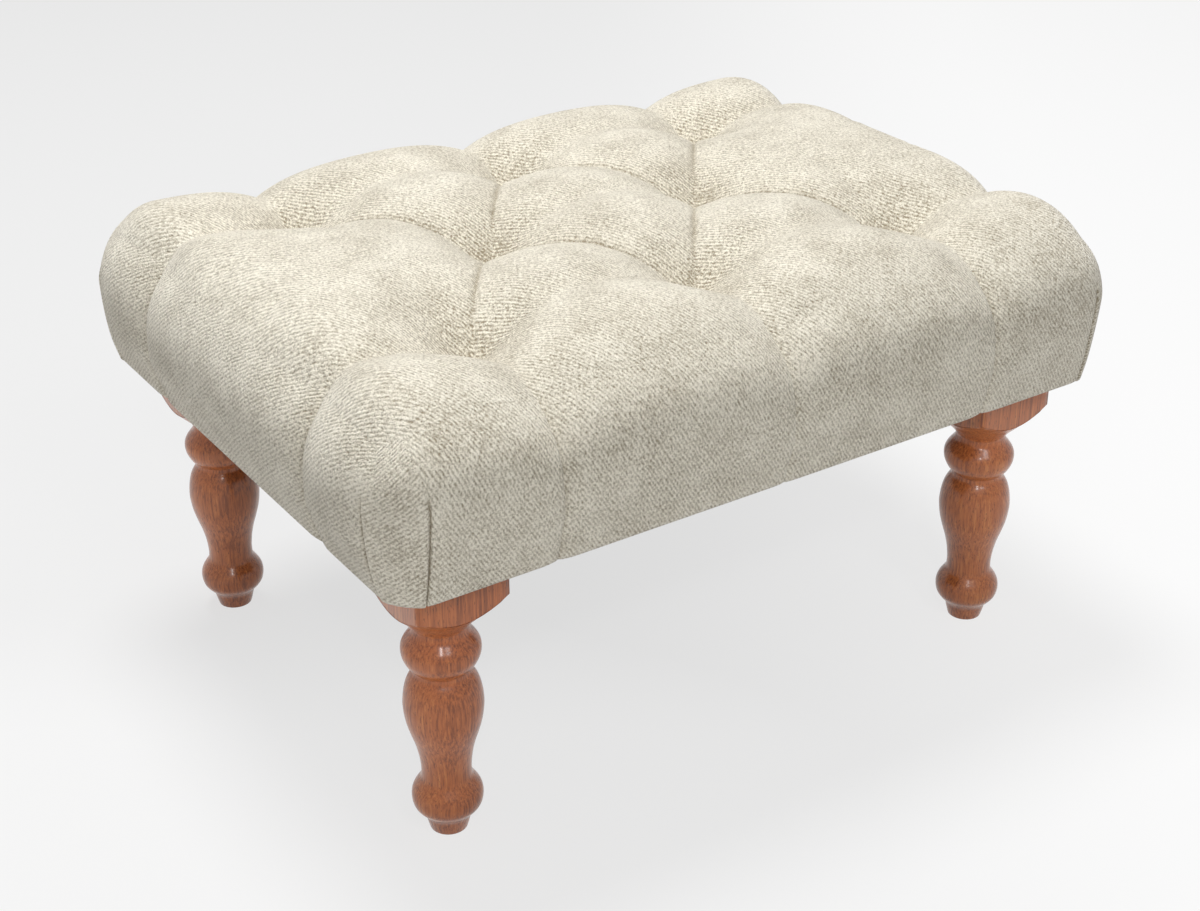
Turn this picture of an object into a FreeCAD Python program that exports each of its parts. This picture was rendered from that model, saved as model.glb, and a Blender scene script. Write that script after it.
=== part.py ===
import FreeCAD, Part
import math
import os
from FreeCAD import Vector

# Deep-buttoned footstool: a timber frame on four turned legs, with a foam core
# and a quilted cover that is sewn down at eight tufts.
# Millimetres, +Z up, origin on the floor under the middle of the stool.
# The long side runs along X and the front faces -Y.

# Turned legs, radius and height of each part of the profile
leg_inset_x = 18.0
leg_inset_y = 17.0
leg_stock = 70.0
leg_length = 226.0
foot_radius = 13.0
foot_flare = 15.6
foot_height = 12.0
bulb_edge_radius = 21.7
bulb_radius = 24.2
bulb_height = 27.0
bulb_half_height = 7.2
waist_radius = 17.1
waist_height = 51.0
waist_half_height = 5.0
vase_radius = 27.4
vase_height = 102.5
vase_edge_radius = 25.1
vase_half_height = 14.0
lip_radius = 25.8
lip_height = 114.0
neck_radius = 19.9
neck_height = 133.5
ring_radius = 26.5
ring_height = 148.5
collar_radius = 18.1
collar_height = 168.0
pommel_radius = 32.0
pommel_height = 184.0
shoulder_height = 193.5
shoulder_inset = 1.0
shoulder_rise = 4.7

# Timber frame
frame_length = 600.0
frame_width = 462.0
rail_height = 45.0
rail_thickness = 22.0
corner_block_leg = 118.0
corner_block_flat = 28.0
deck_thickness = 9.0
dust_cloth = 1.0

# Fixings
bolt_radius = 4.0
bolt_in_leg = 40.0
bolt_in_block = 38.0
insert_radius = 6.5
insert_length = 16.0
rebate_depth = 8.0
fit_gap = 0.1
soft_gap = 0.3

# Foam core, quilted cover and tufts
foam_thickness = 34.0
quilt_side = 6.0
fold_thickness = 2.0
fold_width = 22.0
corner_radius = 27.0
corner_round_x = 42.0
corner_round_y = 75.0
end_puff_depth = 118.8
front_puff_depth = 108.3
tuft_cloth = 7.0
twine_cover = 3.0
twine_knot = 4.0
tuft_pinch = 3.0
pleat_rise = 36.0
diamond_rise = 20.0
side_pleat_rise = 16.0
end_pleat_rise = 26.0
puff_rise = 46.0
side_puff_drop = 3.5
corner_puff_drop = 3.0
diamond_drop = 5.0
puff_round = 0.11
diamond_fullness = 1.2
end_pleat_depth = 60.0
end_pleat_sharpness = 12
under_lift = 50.0
shoulder_sink = 8.0
mouth_corner = 3.0
side_height = 78.0
side_bulge = 11.0
end_bulge = 20.0
pleat_bulge = 4.0
shoulder_run = 68.0
crest_inset = 87.0
pleat_crest_inset = 57.0
twine_radius = 1.0
twine_hole_radius = 4.0
toggle_side = 7.0
toggle_length = 28.0

# Where the cushion is cut into sections, as shares of a puff's length and as angles
# round the end wall
puff_stations = (0, 0.08, 0.33, 0.68, 1)
end_stations = (0, 0.13, 0.5, 1)
wall_angles = (25, 45, 62, 76)

# Levels that follow from the sizes above
frame_base = leg_length
deck_base = frame_base + rail_height
foam_base = deck_base + deck_thickness
foam_top = foam_base + foam_thickness
cover_base = frame_base - fold_thickness
tuft_height = foam_top + tuft_cloth
shoulder_level = cover_base + side_height
half_length = frame_length / 2 + quilt_side
half_width = frame_width / 2 + quilt_side
frame_corner = corner_radius - quilt_side
tuft_x = half_length - end_puff_depth
tuft_y = half_width - front_puff_depth
middle_x = tuft_x / 2
leg_x = (frame_length - leg_stock) / 2 - leg_inset_x
leg_y = (frame_width - leg_stock) / 2 - leg_inset_y


def box(x0, x1, y0, y1, z0, z1):
    return Part.makeBox(x1 - x0, y1 - y0, z1 - z0, Vector(x0, y0, z0))


def rounded_slab(length, width, radius, z0, z1):
    """Rectangle with rounded corners about the Z axis, from z0 up to z1."""
    slab = box(-length / 2, length / 2, -width / 2, width / 2, z0, z1)
    upright = [e for e in slab.Edges if abs(e.tangentAt(0).z) > 0.9]
    return slab.makeFillet(radius, upright)


def upright_rod(radius, z0, z1):
    return Part.makeCylinder(radius, z1 - z0, Vector(0, 0, z0))


def moved(shape, x, y, z):
    copy = shape.copy()
    copy.translate(Vector(x, y, z))
    return copy


def four_corners(x, y):
    return [(sx * x, sy * y) for sx in (-1, 1) for sy in (-1, 1)]


def mirrored(shape, axis):
    return shape.mirror(Vector(0, 0, 0), axis)


def export(name, shape):
    shape.exportStep(os.path.join("parts", name + ".step"))


def group(shapes):
    return shapes[0] if len(shapes) == 1 else Part.makeCompound(shapes)


# Turned legs


def leg_outline():
    """Half profile of the leg in the XZ plane, from the foot to the square top."""
    def point(radius, height):
        return Vector(radius, 0, height)

    half = leg_stock / 2
    corner = leg_stock / math.sqrt(2) + shoulder_inset
    bulb_low = point(bulb_edge_radius, bulb_height - bulb_half_height)
    bulb_high = point(bulb_edge_radius, bulb_height + bulb_half_height)
    flank = [
        point(waist_radius, waist_height - waist_half_height),
        point(waist_radius, waist_height + waist_half_height),
        point(vase_edge_radius, vase_height - vase_half_height),
        point(vase_radius, vase_height),
        point(lip_radius, lip_height),
        point(neck_radius, neck_height),
        point(ring_radius, ring_height),
        point(collar_radius, collar_height),
        point(pommel_radius, pommel_height),
        point(half - shoulder_inset, shoulder_height),
        point(corner, shoulder_height + shoulder_rise),
        point(corner, leg_length),
    ]
    foot = [point(0, leg_length), point(0, 0), point(foot_radius, 0), point(foot_flare, foot_height)]
    round_bulb = Part.Arc(bulb_low, point(bulb_radius, bulb_height), bulb_high).toShape()
    straight = Part.makePolygon([bulb_high] + flank + foot + [bulb_low])
    return Part.Wire([round_bulb] + straight.Edges)


def turned_leg():
    """One leg about the Z axis: turned below, left square at the top."""
    half = leg_stock / 2
    turned = Part.Face(leg_outline()).revolve(Vector(0, 0, 0), Vector(0, 0, 1), 360)
    leg = turned.common(box(-half, half, -half, half, 0, leg_length))
    hole = upright_rod(bolt_radius + fit_gap, leg_length - bolt_in_leg, leg_length)
    return leg.cut(hole)


def hanger_bolt():
    return upright_rod(bolt_radius, leg_length - bolt_in_leg, frame_base + bolt_in_block)


def bolt_insert():
    """Threaded insert, flush with the underside of its corner block."""
    barrel = upright_rod(insert_radius, frame_base, frame_base + insert_length)
    return barrel.cut(upright_rod(bolt_radius + fit_gap, frame_base, frame_base + insert_length))


def at_legs(shape):
    return [moved(shape, x, y, 0) for x, y in four_corners(leg_x, leg_y)]


# Timber frame


def rail_outline():
    return rounded_slab(frame_length, frame_width, frame_corner, frame_base, deck_base)


def end_rail_box(side, gap):
    """Straight bar of the end rail, let into the front and back rails by the rebate depth."""
    inner = side * (frame_length / 2 - rail_thickness - gap)
    outer = side * (frame_length / 2 + gap)
    reach = frame_width / 2 - rail_thickness + rebate_depth + gap
    return box(min(inner, outer), max(inner, outer), -reach, reach, frame_base, deck_base)


def rail_y(side):
    """Left (side -1) or right (side 1) rail."""
    return end_rail_box(side, 0).common(rail_outline())


def rail_x(side):
    """Front (side -1) or back (side 1) rail, rebated at its rounded ends for the end rails."""
    inner = side * (frame_width / 2 - rail_thickness)
    outer = side * frame_width / 2
    bar = box(-frame_length, frame_length, min(inner, outer), max(inner, outer), frame_base, deck_base)
    return bar.common(rail_outline()).cut(group([end_rail_box(-1, fit_gap), end_rail_box(1, fit_gap)]))


def corner_block(sx, sy):
    """Glued block that fills the inside corner and holds the leg's bolt."""
    x = frame_length / 2 - rail_thickness
    y = frame_width / 2 - rail_thickness
    points = [(x, y), (x - corner_block_leg, y), (x - corner_block_leg, y - corner_block_flat),
              (x - corner_block_flat, y - corner_block_leg), (x, y - corner_block_leg)]
    wire = Part.makePolygon([Vector(sx * px, sy * py, frame_base) for px, py in points + points[:1]])
    block = Part.Face(wire).extrude(Vector(0, 0, rail_height))
    centre = (sx * leg_x, sy * leg_y, 0)
    bolt_way = upright_rod(bolt_radius + fit_gap, frame_base, frame_base + bolt_in_block)
    seat = upright_rod(insert_radius + fit_gap, frame_base, frame_base + insert_length)
    return block.cut(moved(bolt_way.fuse(seat), *centre))


def deck_board():
    """Plywood deck with a hole under each tuft."""
    board = rounded_slab(frame_length, frame_width, frame_corner, deck_base, foam_base)
    holes = [moved(upright_rod(twine_hole_radius, deck_base, foam_base), x, y, 0) for x, y in tufts()]
    return board.cut(group(holes))


def dust_cloth_panel():
    """Dust cloth under the frame, inside the folded edge of the cover, notched for the legs."""
    x = half_length - fold_width - soft_gap
    y = half_width - fold_width - soft_gap
    low = frame_base - dust_cloth
    side = leg_stock + 2 * soft_gap
    notch = box(-side / 2, side, -side / 2, side, low, frame_base)
    notch.translate(Vector(leg_x, leg_y, 0))
    other = mirrored(notch, Vector(1, 0, 0))
    notches = [notch, other, mirrored(notch, Vector(0, 1, 0)), mirrored(other, Vector(0, 1, 0))]
    return box(-x, x, -y, y, low, frame_base).cut(group(notches))


# Foam core and sewn tufts


def tufts():
    """Tufts in plan: three in front, two in the middle and three behind."""
    rows = [(x, side * tuft_y) for side in (-1, 1) for x in (-tuft_x, 0, tuft_x)]
    return rows + [(-middle_x, 0), (middle_x, 0)]


def foam_core():
    foam = rounded_slab(frame_length, frame_width, frame_corner, foam_base, foam_top)
    return foam.cut(group(twines(fit_gap)))


def twines(gap):
    """Waxed twine from each tuft down to its toggle, as a six-sided cord."""
    low = deck_base - toggle_side - twine_knot
    high = tuft_height - twine_cover + gap
    out = []
    for x, y in tufts():
        corners = [Vector(x + (twine_radius + gap) * math.cos(k * math.pi / 3),
                          y + (twine_radius + gap) * math.sin(k * math.pi / 3), low) for k in range(7)]
        out.append(Part.Face(Part.makePolygon(corners)).extrude(Vector(0, 0, high - low)))
    return out


def toggles():
    """Wooden bars under the deck that the twines are tied to."""
    side = toggle_side / 2
    reach = toggle_length / 2
    cords = group(twines(fit_gap))
    return [box(x - reach, x + reach, y - side, y + side, deck_base - toggle_side, deck_base).cut(cords)
            for x, y in tufts()]


# Tufted form of the cover


def section(x, valley, middle, crest, shoulder, bulge, base):
    """Upright outline across the cushion at x. Each point is (y, z) on the +Y side:
    base corner, bulge of the wall, shoulder, crest of the puff and valley of the pleat.
    middle is the height of the puff between the two pleats."""
    def at(point, side=1):
        return Vector(x, side * point[0], point[1])

    def arc(a, b, c):
        return Part.Arc(a, b, c).toShape()

    turn = math.sqrt(0.5)
    round_over = (crest[0] + (shoulder[0] - crest[0]) * turn, shoulder[1] + (crest[1] - shoulder[1]) * turn)
    run = crest[0] - valley[0]
    rise = crest[1] - valley[1]
    slope = ((crest[0] + valley[0]) / 2 - rise * puff_round, (crest[1] + valley[1]) / 2 + run * puff_round)
    return Part.Wire([
        Part.LineSegment(at(base, -1), at(base)).toShape(),
        arc(at(base), at(bulge), at(shoulder)),
        arc(at(shoulder), at(round_over), at(crest)),
        arc(at(crest), at(slope), at(valley)),
        arc(at(valley), Vector(x, 0, middle), at(valley, -1)),
        arc(at(valley, -1), at(slope, -1), at(crest, -1)),
        arc(at(crest, -1), at(round_over, -1), at(shoulder, -1)),
        arc(at(shoulder, -1), at(bulge, -1), at(base, -1)),
    ])


def middle_form():
    """Half a puff along X, from the pleat at x = 0 to the middle row's tuft."""
    sections = []
    for share in puff_stations:
        full = math.sqrt(1 - (1 - share) ** 2)
        pinch = max(tuft_pinch, tuft_y * (1 - share))
        between_tufts = math.sin(math.pi * share)
        valley = tuft_height + pleat_rise * between_tufts
        middle = tuft_height + diamond_rise * between_tufts
        middle += (puff_rise - diamond_drop) * (pinch / tuft_y) ** diamond_fullness
        bulge = pleat_bulge + (side_bulge - pleat_bulge) * full
        side_puff = puff_rise - side_puff_drop
        crest = tuft_height + side_pleat_rise + (side_puff - side_pleat_rise) * full
        inset = pleat_crest_inset + (crest_inset - pleat_crest_inset) * full
        sections.append(section(
            middle_x * share, (pinch, valley), middle, (half_width - inset, crest),
            (half_width + bulge, shoulder_level), (half_width + bulge, (cover_base + shoulder_level) / 2),
            (half_width, cover_base)))
    return Part.makeLoft(sections, True, True)


def end_form():
    """End of the cushion, from the last pleat across to the bulging end wall."""
    reach = half_length + end_bulge
    start = reach - shoulder_run
    rows = [(tuft_x + (start - tuft_x) * share, math.sqrt(1 - (1 - share) ** 2), 0.0)
            for share in end_stations]
    rows += [(start + shoulder_run * math.sin(math.radians(a)), 1.0, math.radians(a)) for a in wall_angles]
    sections = []
    for x, full, angle in rows:
        fall = 1 - math.cos(angle)

        def sunk(height):
            return height - (height - shoulder_level) * fall

        top = sunk(tuft_height + puff_rise - diamond_drop * (1 - full))
        corner_puff = puff_rise - corner_puff_drop
        crest = sunk(tuft_height + side_pleat_rise + (corner_puff - side_pleat_rise) * full)
        valley = sunk(tuft_height + end_pleat_rise * full)
        valley -= end_pleat_depth * math.sin(angle) ** end_pleat_sharpness
        into_round = max(0.0, 1 - (reach - x) / corner_round_x)
        round_in = corner_round_y * (1 - math.sqrt(1 - into_round ** 2))
        into_corner = min(1.0, max(0.0, 1 - (half_length - x) / corner_radius))
        corner_in = corner_radius * (1 - math.sqrt(1 - into_corner ** 2))
        past = max(0.0, x - half_length)
        lift = under_lift * (past / end_bulge) ** 2
        bulge = pleat_bulge + (side_bulge - pleat_bulge) * full
        wall = half_width + bulge - round_in
        base_in = max(corner_in, round_in) if past else corner_in
        base = (half_width - base_in, cover_base + lift)
        shoulder = (wall, shoulder_level - shoulder_sink * fall)
        crest_y = min(half_width - pleat_crest_inset, wall - corner_puff / 2)
        sections.append(section(
            x, (tuft_y, valley), top, (crest_y, crest), shoulder,
            (wall, (base[1] + shoulder[1]) / 2), base))
    return Part.makeLoft(sections, True, True)


def tufted_form():
    """The puffed outer shape: puffs, pleats, tufts and drawn-in walls, solid inside."""
    puff = middle_form()
    other = puff.mirror(Vector(middle_x, 0, 0), Vector(1, 0, 0))
    half = puff.fuse([other, end_form()])
    return half.fuse(mirrored(half, Vector(1, 0, 0))).removeSplitter()


def quilted_cover():
    """Cover with its wadding, hollow for the foam and frame, folded in under the rails."""
    gap = soft_gap
    hollow = rounded_slab(frame_length + 2 * gap, frame_width + 2 * gap, frame_corner + gap,
                          frame_base, foam_top + gap)
    mouth = rounded_slab(2 * (half_length - fold_width), 2 * (half_width - fold_width),
                         mouth_corner, cover_base - soft_gap, frame_base + soft_gap)
    return tufted_form().cut(hollow.fuse(mouth)).cut(group(twines(fit_gap)))


def main():
    os.makedirs("parts", exist_ok=True)
    export("turned_legs", group(at_legs(turned_leg())))
    export("hanger_bolts", group(at_legs(hanger_bolt())))
    export("bolt_inserts", group(at_legs(bolt_insert())))
    export("front_rail", rail_x(-1))
    export("back_rail", rail_x(1))
    export("left_rail", rail_y(-1))
    export("right_rail", rail_y(1))
    for sx, sy in four_corners(1, 1):
        depth = "front" if sy < 0 else "back"
        side = "left" if sx < 0 else "right"
        export("corner_block_" + depth + "_" + side, corner_block(sx, sy))
    export("deck_board", deck_board())
    export("dust_cloth", dust_cloth_panel())
    export("foam_core", foam_core())
    export("tuft_twines", group(twines(0)))
    export("tuft_toggles", group(toggles()))
    export("quilted_cover", quilted_cover())


main()
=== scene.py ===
import math
import bmesh
import bpy
import numpy as np
from mathutils import Matrix, Vector


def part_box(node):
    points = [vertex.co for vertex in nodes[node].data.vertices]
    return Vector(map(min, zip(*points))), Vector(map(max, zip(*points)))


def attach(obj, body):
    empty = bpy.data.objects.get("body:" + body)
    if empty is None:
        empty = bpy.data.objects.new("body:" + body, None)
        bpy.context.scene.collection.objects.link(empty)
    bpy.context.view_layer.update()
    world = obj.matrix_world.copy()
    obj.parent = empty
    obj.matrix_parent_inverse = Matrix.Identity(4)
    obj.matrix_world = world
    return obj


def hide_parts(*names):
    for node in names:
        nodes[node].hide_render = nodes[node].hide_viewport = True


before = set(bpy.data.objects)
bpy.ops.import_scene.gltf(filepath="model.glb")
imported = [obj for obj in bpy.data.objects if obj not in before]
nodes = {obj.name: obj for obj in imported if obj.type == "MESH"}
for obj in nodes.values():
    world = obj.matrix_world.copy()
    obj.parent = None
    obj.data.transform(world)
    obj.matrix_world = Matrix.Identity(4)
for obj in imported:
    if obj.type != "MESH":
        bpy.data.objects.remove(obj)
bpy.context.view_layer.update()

# Deep-buttoned footstool. Metres, +Z up, the front faces -Y.

# Outline of the cushion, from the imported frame
deck_low, deck_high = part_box("deck_board")
cover_low, cover_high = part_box("quilted_cover")
twine_low, twine_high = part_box("tuft_twines")
foam_low, foam_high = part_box("foam_core")
cloth_low, cloth_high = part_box("dust_cloth")
leg_low, leg_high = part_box("turned_legs")

quilt_side = 0.006
twine_radius = 0.001
half_length = deck_high.x + quilt_side
half_width = deck_high.y + quilt_side
base_level = cover_low.z
rim_level = 0.350
tuft_x = twine_high.x - twine_radius
tuft_y = twine_high.y - twine_radius * math.sin(math.pi / 3)
middle_x = tuft_x / 2
slant = math.hypot(middle_x, tuft_y)
tufts = [(0, tuft_y), (0, -tuft_y), (middle_x, 0), (-middle_x, 0)]
tufts += [(sx * tuft_x, sy * tuft_y) for sx in (-1, 1) for sy in (-1, 1)]

# Rounding of the cushion: squarer at its ends than at the front and back
top_round = 0.060
corner_low = 0.027
end_round = 0.035
side_round = 0.075
corner_growth = 0.070

# Puffs, pleats and tufts
puff_rise = 0.013
puff_width = 0.058
puff_power = 2.0
puff_shape = 1.15
pleat_softness = 0.06
end_bulge = 0.012
side_bulge = 0.009
pleat_depth = 0.0015
pleat_lip = 0.0016
lip_width = 0.008
crease_depth = 0.0024
crease_width = 0.0024
crease_place = 0.7
# Fold depth at which the painted shade in the top's creases is darkest.
darkest_painted_shade_depth = 0.0040
tuft_depth = 0.031
tuft_spread = 0.034
tuft_power = 1.5
row_depth = 0.006
row_spread = 0.016
column_share = 0.25
crown = 0.0105
crown_power = 1.5
bulge_place = 0.85
bulge_power = 1.3
end_fade = 2.0
side_fade = 5.0

# Weave of the cover
rib_pitch = 0.0022
float_length = 0.0032

# Pleats in the walls: depth and width of each crease and of the hollow round it, and a line of painted
# shade along each pleat
wall_fold_start = 0.030
pleat_grooves = ((0.0014, 0.0012), (0.0016, 0.007))
middle_grooves = ((0.0010, 0.0012), (0.0006, 0.006))
pleat_shade = 0.15
pleat_shade_width = 0.0016

# Folds of the cover at its corners: a raised edge with a gap beside it. Painted shade darkens the gap,
# and a painted highlight (the glint) lightens the end folds' raised edge
front_fold_x = 0.287
end_fold_y = 0.214
fold_start = 0.310
fold_fade = 0.014
overlap_edge = 0.0005
overlap_rise = 0.0012
overlap_reach = 0.008
front_gap_depth = 0.0022
front_gap_shade = 0.8
end_gap_depth = 0.0012
end_gap_place = 0.0022
end_gap_width = 0.0014
end_gap_shade = 0.65
end_glint = 0.4
end_glint_width = 0.0007

# Hem under the rails and lining round the foam
hem_radius = 0.004
hem_width = 0.022
lining_gap = 0.0003

# Dust cloth and staples
rail_thickness = 0.022
leg_clearance = 0.0003
cloth_thickness = 0.0003
cloth_sag = 0.005
dimple_pitch = 0.0022
pucker = 0.0010
pucker_reach = 0.015
staple_pitch = 0.050
staple_inset = 0.0032
staple_crown = 0.010
staple_width = 0.0012
staple_wire = 0.0005
staple_bend = 0.0008
staple_rise = 0.0016
staple_slant = 0.12

# Grid of the cushion: steps between the pleats, past the outer tufts, down the walls and at the folds
pleat_steps = 48
edge_steps = 32
end_edge_steps = 20
wall_steps = 34
near_pleat = (0.009, 0.03)
past_tuft = (0.002, 2)
by_fold = ((-0.0012, 4), (0.0012, 6), (0.006, 4))

# Cloth simulation of the cushion
settle_steps = 18
settle_frames = 20
settle_pressure = 8.0
settle_bending = 0.5
settle_cap = 0.014
tuft_hold = 0.012
tuft_hold_fade = 0.008
wall_hold = 0.040
wall_hold_fade = 0.030


# Small helpers

tiny = 1e-6


def smoothstep(t):
    t = np.clip(t, 0, 1)
    return t * t * (3 - 2 * t)


def new_object(name, mesh):
    obj = bpy.data.objects.new(name, mesh)
    bpy.context.scene.collection.objects.link(obj)
    return obj


def smooth_shade(mesh):
    mesh.polygons.foreach_set("use_smooth", [True] * len(mesh.polygons))
    mesh.update()


def set_material(obj, material):
    obj.data.materials.clear()
    obj.data.materials.append(material)


# Tufted cushion


def corner_radius(high, z):
    return corner_low + (high - corner_low) * smoothstep((z - base_level) / corner_growth)


def rounded(x, y, z):
    """Point of a box surface moved onto the same box with rounded edges, and its normal."""
    radius_x, radius_y = corner_radius(end_round, z), corner_radius(side_round, z)
    centre = np.stack([
        np.clip(x, radius_x - half_length, half_length - radius_x),
        np.clip(y, radius_y - half_width, half_width - radius_y),
        np.minimum(z, rim_level - top_round),
    ], -1)
    size = np.stack([radius_x, radius_y, np.full_like(radius_x, top_round)], -1)
    out = (np.stack([x, y, z], -1) - centre) / size
    out /= np.maximum(np.linalg.norm(out, axis=-1, keepdims=True), 1e-9)
    normal = out / size
    normal /= np.linalg.norm(normal, axis=-1, keepdims=True)
    return centre + out * size, normal


def smooth_min(*distances):
    total = sum(np.maximum(d, tiny) ** -2.0 for d in distances)
    return total ** -0.5


def slanted_pleats(ax, ay):
    """Signed distances from the inner and the outer slanted pleat of one quarter."""
    inner = (tuft_y * ax + middle_x * ay - middle_x * tuft_y) / slant
    outer = (tuft_y * (ax - middle_x) - middle_x * ay) / slant
    return inner, outer


def pleat_distance(x, y):
    """Distance from the pleats round the puff that holds the point."""
    ax, ay = np.abs(x), np.abs(y)
    inner, outer = slanted_pleats(ax, ay)
    in_corner = (ax > tuft_x) & (ay > tuft_y)
    in_diamond = inner < 0
    in_end = ~in_corner & ~in_diamond & (ax >= middle_x)
    in_end &= (outer > 0) | (ax > tuft_x)
    reach = middle_x * tuft_y
    diamond = smooth_min(*[(reach - sx * tuft_y * x - sy * middle_x * y) / slant
                           for sx in (-1, 1) for sy in (-1, 1)])
    end = smooth_min((tuft_y * (ax - middle_x) - middle_x * y) / slant,
                     (tuft_y * (ax - middle_x) + middle_x * y) / slant, tuft_y - y, tuft_y + y)
    corner = smooth_min(ax - tuft_x, ay - tuft_y)
    front = smooth_min(inner, -outer, ax, tuft_x - ax)
    return np.select([in_diamond, in_corner, in_end], [diamond, corner, end], front)


def pleat_side(x, y):
    """Distance from the nearest slanted pleat, above zero in front of it, and its strength."""
    ax, ay = np.abs(x), np.abs(y)
    inner, outer = slanted_pleats(ax, ay)
    side = np.sign(y) * np.where(np.abs(inner) < np.abs(outer), -inner, outer)
    inside = (ax < tuft_x) & (ay < tuft_y)
    strength = np.where(inside, np.sin(np.pi * np.clip(ay / tuft_y, 0, 1)), 0.0)
    return side, strength


def pleat_fold(x, y):
    """Tight crease behind each slanted pleat and the lip of the puff that overlaps it in front."""
    side, strength = pleat_side(x, y)
    front = smoothstep((side + 0.5 * crease_width) / crease_width)
    lip = pleat_lip * front * np.exp(-(np.maximum(side, 0) / lip_width) ** 2)
    crease = crease_depth * np.exp(-((side + crease_place * crease_width) / crease_width) ** 2)
    return strength * (lip - crease)


def tuft_distance(x, y, z, on_top):
    near = np.full_like(x, 1.0)
    for tx, ty in tufts:
        near = np.minimum(near, np.hypot(x - tx, y - ty))
    return near + np.where(on_top, 0, rim_level - z)


def row_valleys(x, y):
    """Soft valleys that run out from the tufts along the rows and the outer columns."""
    ax, ay = np.abs(x), np.abs(y)
    row = np.abs(ay - tuft_y) + np.maximum(ax - tuft_x, 0)
    middle = ay + np.maximum(ax - middle_x, 0)
    column = np.abs(ax - tuft_x) + np.maximum(ay - tuft_y, 0)
    total = np.exp(-(row / row_spread) ** 2) + np.exp(-(middle / row_spread) ** 2)
    return total + column_share * np.exp(-(column / row_spread) ** 2)


def cushion_surface(x, y, z, on_top):
    """Puffed surface of the cushion over a point of its plain box."""
    base, normal = rounded(x, y, z)
    reach = pleat_distance(x, y) / puff_width
    reach = np.clip(np.sqrt(reach ** 2 + pleat_softness ** 2) - pleat_softness, 0, 1)
    puff = (1 - (1 - reach) ** puff_power) ** (1 / puff_shape)
    up = np.clip((z - base_level) / (rim_level - base_level), 0, 1)
    fall = 1 - up
    endwise = normal[..., 0] ** 2 / (normal[..., 0] ** 2 + normal[..., 1] ** 2 + 1e-9)
    fade = np.where(on_top, 1.0, (1 - fall ** 2) ** (side_fade + (end_fade - side_fade) * endwise))
    tuft = np.exp(-(tuft_distance(x, y, z, on_top) / tuft_spread) ** tuft_power)
    top = np.where(on_top, 1.0, 0.0)
    inward = np.maximum(1 - (x / half_length) ** 2, 0) * np.maximum(1 - (y / half_width) ** 2, 0)
    height = crown * top * inward ** crown_power
    bulge = side_bulge + (end_bulge - side_bulge) * endwise
    height += (1 - top) * bulge * np.sin(np.pi * up ** bulge_place) ** bulge_power
    height += fade * (puff_rise * puff - pleat_depth * (1 - puff) - tuft_depth * tuft)
    height -= row_depth * top * row_valleys(x, y) * (1 - tuft)
    fold = top * pleat_fold(x, y) * (1 - tuft)
    return base + normal * (height + fold)[..., None], normal, tuft, fold


def stations(*knots):
    """Grid positions from the first knot to the last, each step given as (end, count)."""
    values = [knots[0]]
    for end, count in knots[1:]:
        values += list(np.linspace(values[-1], end, count + 1)[1:])
    return values


def pleat_shares():
    """Shares from one pleat line to the next, closer together near both lines."""
    near = [0, *near_pleat]
    inner = np.linspace(near[-1], 1 - near[-1], pleat_steps - 3)
    return near[:-1] + list(inner) + [1 - n for n in near[-2::-1]]


def outer_lines(tuft, fold, edge, steps, edge_count):
    """Grid positions from the outer tufts to the edge, closer together at the corner fold."""
    knots = [(tuft + past_tuft[0], past_tuft[1]), (fold - by_fold[-1][0], steps)]
    knots += [(fold + away, count) for away, count in by_fold]
    return stations(tuft, *knots, (edge, edge_count))[1:]


def both_ways(values):
    return np.array([-v for v in values[:0:-1]] + values)


def grid_lines():
    """Columns and rows of the cushion's grid. The slanted pleats run through its points."""
    shares = np.array(pleat_shares())
    xs = list(middle_x * shares) + list(middle_x + middle_x * shares[1:])
    xs += outer_lines(tuft_x, front_fold_x, half_length, edge_steps, 6)
    ys = list(tuft_y * shares)
    ys += outer_lines(tuft_y, end_fold_y, half_width, end_edge_steps, 10)
    return both_ways(xs), both_ways(ys)


def groove(side, depth, width):
    return -depth * np.exp(-(side / width) ** 2)


def grooves(side, sizes):
    return sum(groove(side, depth, width) for depth, width in sizes)


def wall_folds(x, y, z, is_end):
    """Creases of the pleats and overlaps of the corner folds: heights over the wall, and the shade
    painted over them: darker in the gaps and along the pleats, lighter on the end folds' raised edge.
    """
    along = np.where(is_end, np.abs(y), np.abs(x))
    pleat = np.where(is_end, tuft_y, tuft_x)
    below = smoothstep((rim_level - z) / wall_fold_start)
    height = grooves(along - pleat, pleat_grooves)
    height += np.where(is_end, 0, grooves(along, middle_grooves))
    side = along - np.where(is_end, end_fold_y, front_fold_x)
    share = smoothstep((fold_start - z) / fold_fade)
    depth = np.where(is_end, end_gap_depth, front_gap_depth)
    place = np.where(is_end, end_gap_place, 0.5 * overlap_edge)
    overlap = groove(side + place, depth, np.where(is_end, end_gap_width, overlap_edge))
    lip = smoothstep((side + 0.5 * overlap_edge) / overlap_edge)
    lip *= overlap_rise * np.exp(-(np.maximum(side, 0) / overlap_reach) ** 2)
    # Painted shade in the fold gaps and along the pleats, and a painted highlight on the end folds'
    # raised edge.
    shade = np.where(is_end, end_gap_shade, front_gap_shade) * np.clip(-share * overlap / depth, 0, 1)
    shade += np.where(is_end, share, 0) * groove(side - overlap_edge, end_glint, end_glint_width)
    shade -= below * groove(along - pleat, pleat_shade, pleat_shade_width)
    return below * height + share * (overlap + lip), shade


def unrolled(value, half, radius):
    """Length of cloth over a rounded edge, for a place on the plain box."""
    size = np.abs(value)
    past = np.maximum(size - (half - radius), 0)
    flat = np.minimum(size, half - radius)
    return np.sign(value) * (flat + radius * np.arctan(past / radius))


def wall_drop(z):
    """Length of cloth from the edge of the plain top down to the level z."""
    into = np.clip((z - (rim_level - top_round)) / top_round, 0, 1)
    return top_round * (math.pi / 4 - np.arctan(into)) + np.maximum(rim_level - top_round - z, 0)


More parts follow.
